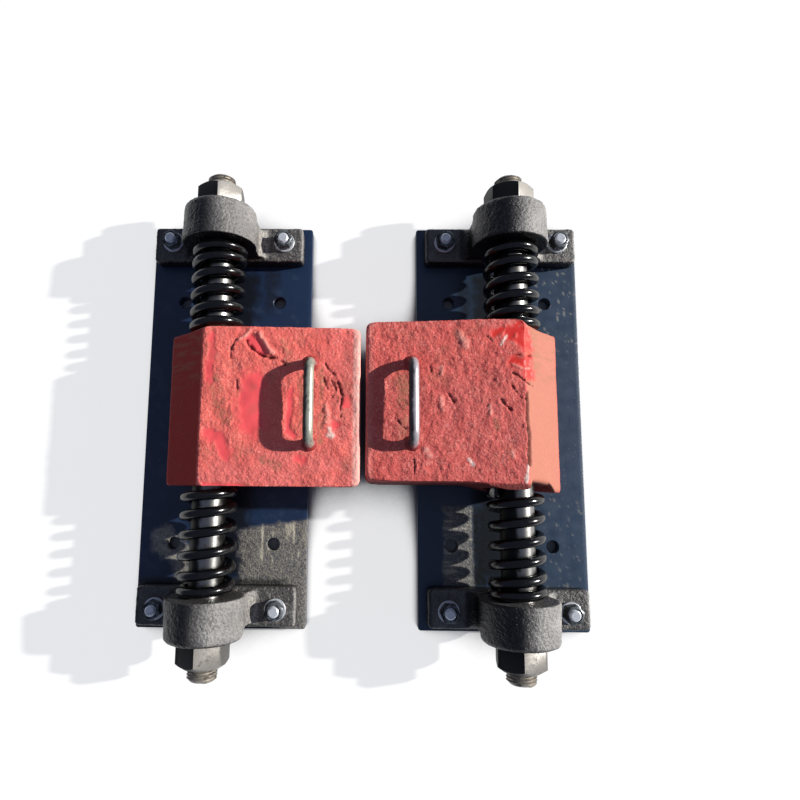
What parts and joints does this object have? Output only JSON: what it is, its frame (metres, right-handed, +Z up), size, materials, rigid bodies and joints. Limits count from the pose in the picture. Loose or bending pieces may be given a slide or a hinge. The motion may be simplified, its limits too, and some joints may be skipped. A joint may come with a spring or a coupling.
{
  "type": "railway buffer stop",
  "caption": "Pair of spring-cushioned hinged stop blocks on shafts over bolted base plates, for stopping mine cars on a narrow track.",
  "frame": {"origin": "middle of the two base plates' undersides, on the track's middle line", "axes": "+X across the track to the right half, +Y along the shafts and the track, +Z up"},
  "size_m": [0.638, 0.6846, 0.16],
  "materials": {
    "plate_paint": "satin navy paint, worn to bare steel round the near holes",
    "cast_black": "black painted sand casting",
    "nut_steel": "blackened steel, worn bright at the edges",
    "shaft_steel": "bright drawn bar, greased",
    "spring_black": "gloss black",
    "zinc": "bright zinc",
    "block_red": "red paint over a rough casting",
    "handle_steel": "weathered round bar"
  },
  "bodies": {
    "base": {"left_base_plate": "plate_paint", "left_far_bracket": "cast_black", "left_far_outer_stud": "zinc", "left_far_outer_washer": "zinc", "left_far_outer_nut": "zinc", "left_far_inner_stud": "zinc", "left_far_inner_washer": "zinc", "left_far_inner_nut": "zinc", "left_near_bracket": "cast_black", "left_near_outer_stud": "zinc", "left_near_outer_washer": "zinc", "left_near_outer_nut": "zinc", "left_near_inner_stud": "zinc", "left_near_inner_washer": "zinc", "left_near_inner_nut": "zinc", "right_base_plate": "plate_paint", "right_far_bracket": "cast_black", "right_far_outer_stud": "zinc", "right_far_outer_washer": "zinc", "right_far_outer_nut": "zinc", "right_far_inner_stud": "zinc", "right_far_inner_washer": "zinc", "right_far_inner_nut": "zinc", "right_near_bracket": "cast_black", "right_near_outer_stud": "zinc", "right_near_outer_washer": "zinc", "right_near_outer_nut": "zinc", "right_near_inner_stud": "zinc", "right_near_inner_washer": "zinc", "right_near_inner_nut": "zinc"},
    "left_shaft": {"left_shaft": "shaft_steel", "left_far_shaft_nut": "nut_steel", "left_far_spring": "spring_black", "left_near_shaft_nut": "nut_steel", "left_near_spring": "spring_black"},
    "left_block": {"left_block": "block_red", "left_handle": "handle_steel"},
    "right_shaft": {"right_shaft": "shaft_steel", "right_far_shaft_nut": "nut_steel", "right_far_spring": "spring_black", "right_near_shaft_nut": "nut_steel", "right_near_spring": "spring_black"},
    "right_block": {"right_block": "block_red", "right_handle": "handle_steel"}
  },
  "joints": [
    {"name": "left_block_turn", "type": "hinge", "parent": "base", "child": "left_shaft", "pos_m": [-0.204, 0, 0.082], "axis": [0, -1, 0], "range_deg": [0, 165]},
    {"name": "left_block_slide", "type": "slide", "parent": "left_shaft", "child": "left_block", "axis": [0, 1, 0], "range_m": [-0.03, 0.03], "stiffness_N_per_m": 180000, "deforming": ["left_far_spring", "left_near_spring"]},
    {"name": "right_block_turn", "type": "hinge", "parent": "base", "child": "right_shaft", "pos_m": [0.204, 0, 0.082], "axis": [0, 1, 0], "range_deg": [0, 165]},
    {"name": "right_block_slide", "type": "slide", "parent": "right_shaft", "child": "right_block", "axis": [0, 1, 0], "range_m": [-0.03, 0.03], "stiffness_N_per_m": 180000, "deforming": ["right_far_spring", "right_near_spring"]}
  ]
}
